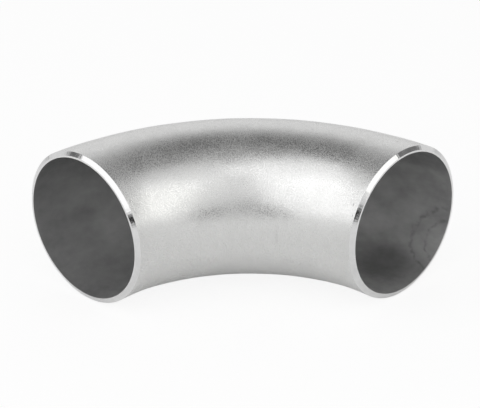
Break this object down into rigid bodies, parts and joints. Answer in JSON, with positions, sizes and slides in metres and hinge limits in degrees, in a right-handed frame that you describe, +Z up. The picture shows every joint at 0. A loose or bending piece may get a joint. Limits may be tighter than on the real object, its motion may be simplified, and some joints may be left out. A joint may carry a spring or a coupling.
{
  "type": "long radius elbow",
  "caption": "Quarter-turn long radius pipe elbow of satin stainless steel, with both ends bevelled for butt welding.",
  "frame": {"origin": "centre of the first weld end, on the plane of its root face", "axes": "-Y out of the first weld end, +X out of the second, +Z up out of the plane of the bend; the bend's centre lies on +X"},
  "size_m": [0.206, 0.206, 0.108],
  "materials": {
    "stainless_steel": "satin, bead blasted outside, machined on the bevels, dull inside"
  },
  "bodies": {
    "root": {"elbow": "stainless_steel"}
  },
  "joints": []
}
